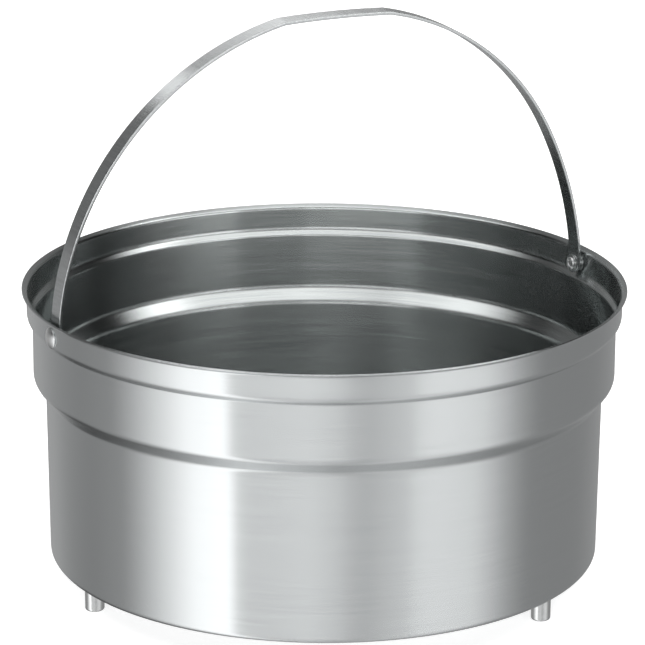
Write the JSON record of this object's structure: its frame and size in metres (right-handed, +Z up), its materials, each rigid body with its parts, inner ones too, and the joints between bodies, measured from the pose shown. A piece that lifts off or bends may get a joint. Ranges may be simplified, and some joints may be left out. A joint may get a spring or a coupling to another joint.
{
  "type": "soup kettle",
  "caption": "Round stainless steel insert pot for a soup kettle, with stepped shoulders, a flared lip, a folding flat-strip bail riveted inside the rim, and stud feet.",
  "frame": {"origin": "centre of the plane the feet stand on, on the pot's axis", "axes": "+Z up along the pot's axis; +X along the bail's pivot axis, from the left rivet to the right one; +Y completes the frame, and the bail leans slightly towards -Y"},
  "size_m": [0.3699, 0.37, 0.3562],
  "materials": {
    "pot": "brushed around the axis",
    "bail": "brushed across the strip",
    "rivets": "smooth satin",
    "washers": "plain",
    "feet": "turned"
  },
  "bodies": {
    "pot": {"pot_shell": "pot", "rivet_right": "rivets", "rivet_left": "rivets", "spacer_washer_right": "washers", "spacer_washer_left": "washers", "backing_washer_right": "washers", "backing_washer_left": "washers", "foot_1": "feet", "foot_2": "feet", "foot_3": "feet"},
    "bail": {"bail": "bail"}
  },
  "joints": [
    {"name": "bail_pivot", "type": "hinge", "parent": "pot", "child": "bail", "pos_m": [0, 0, 0.176], "axis": [1, 0, 0], "range_deg": [-86, 81]}
  ]
}
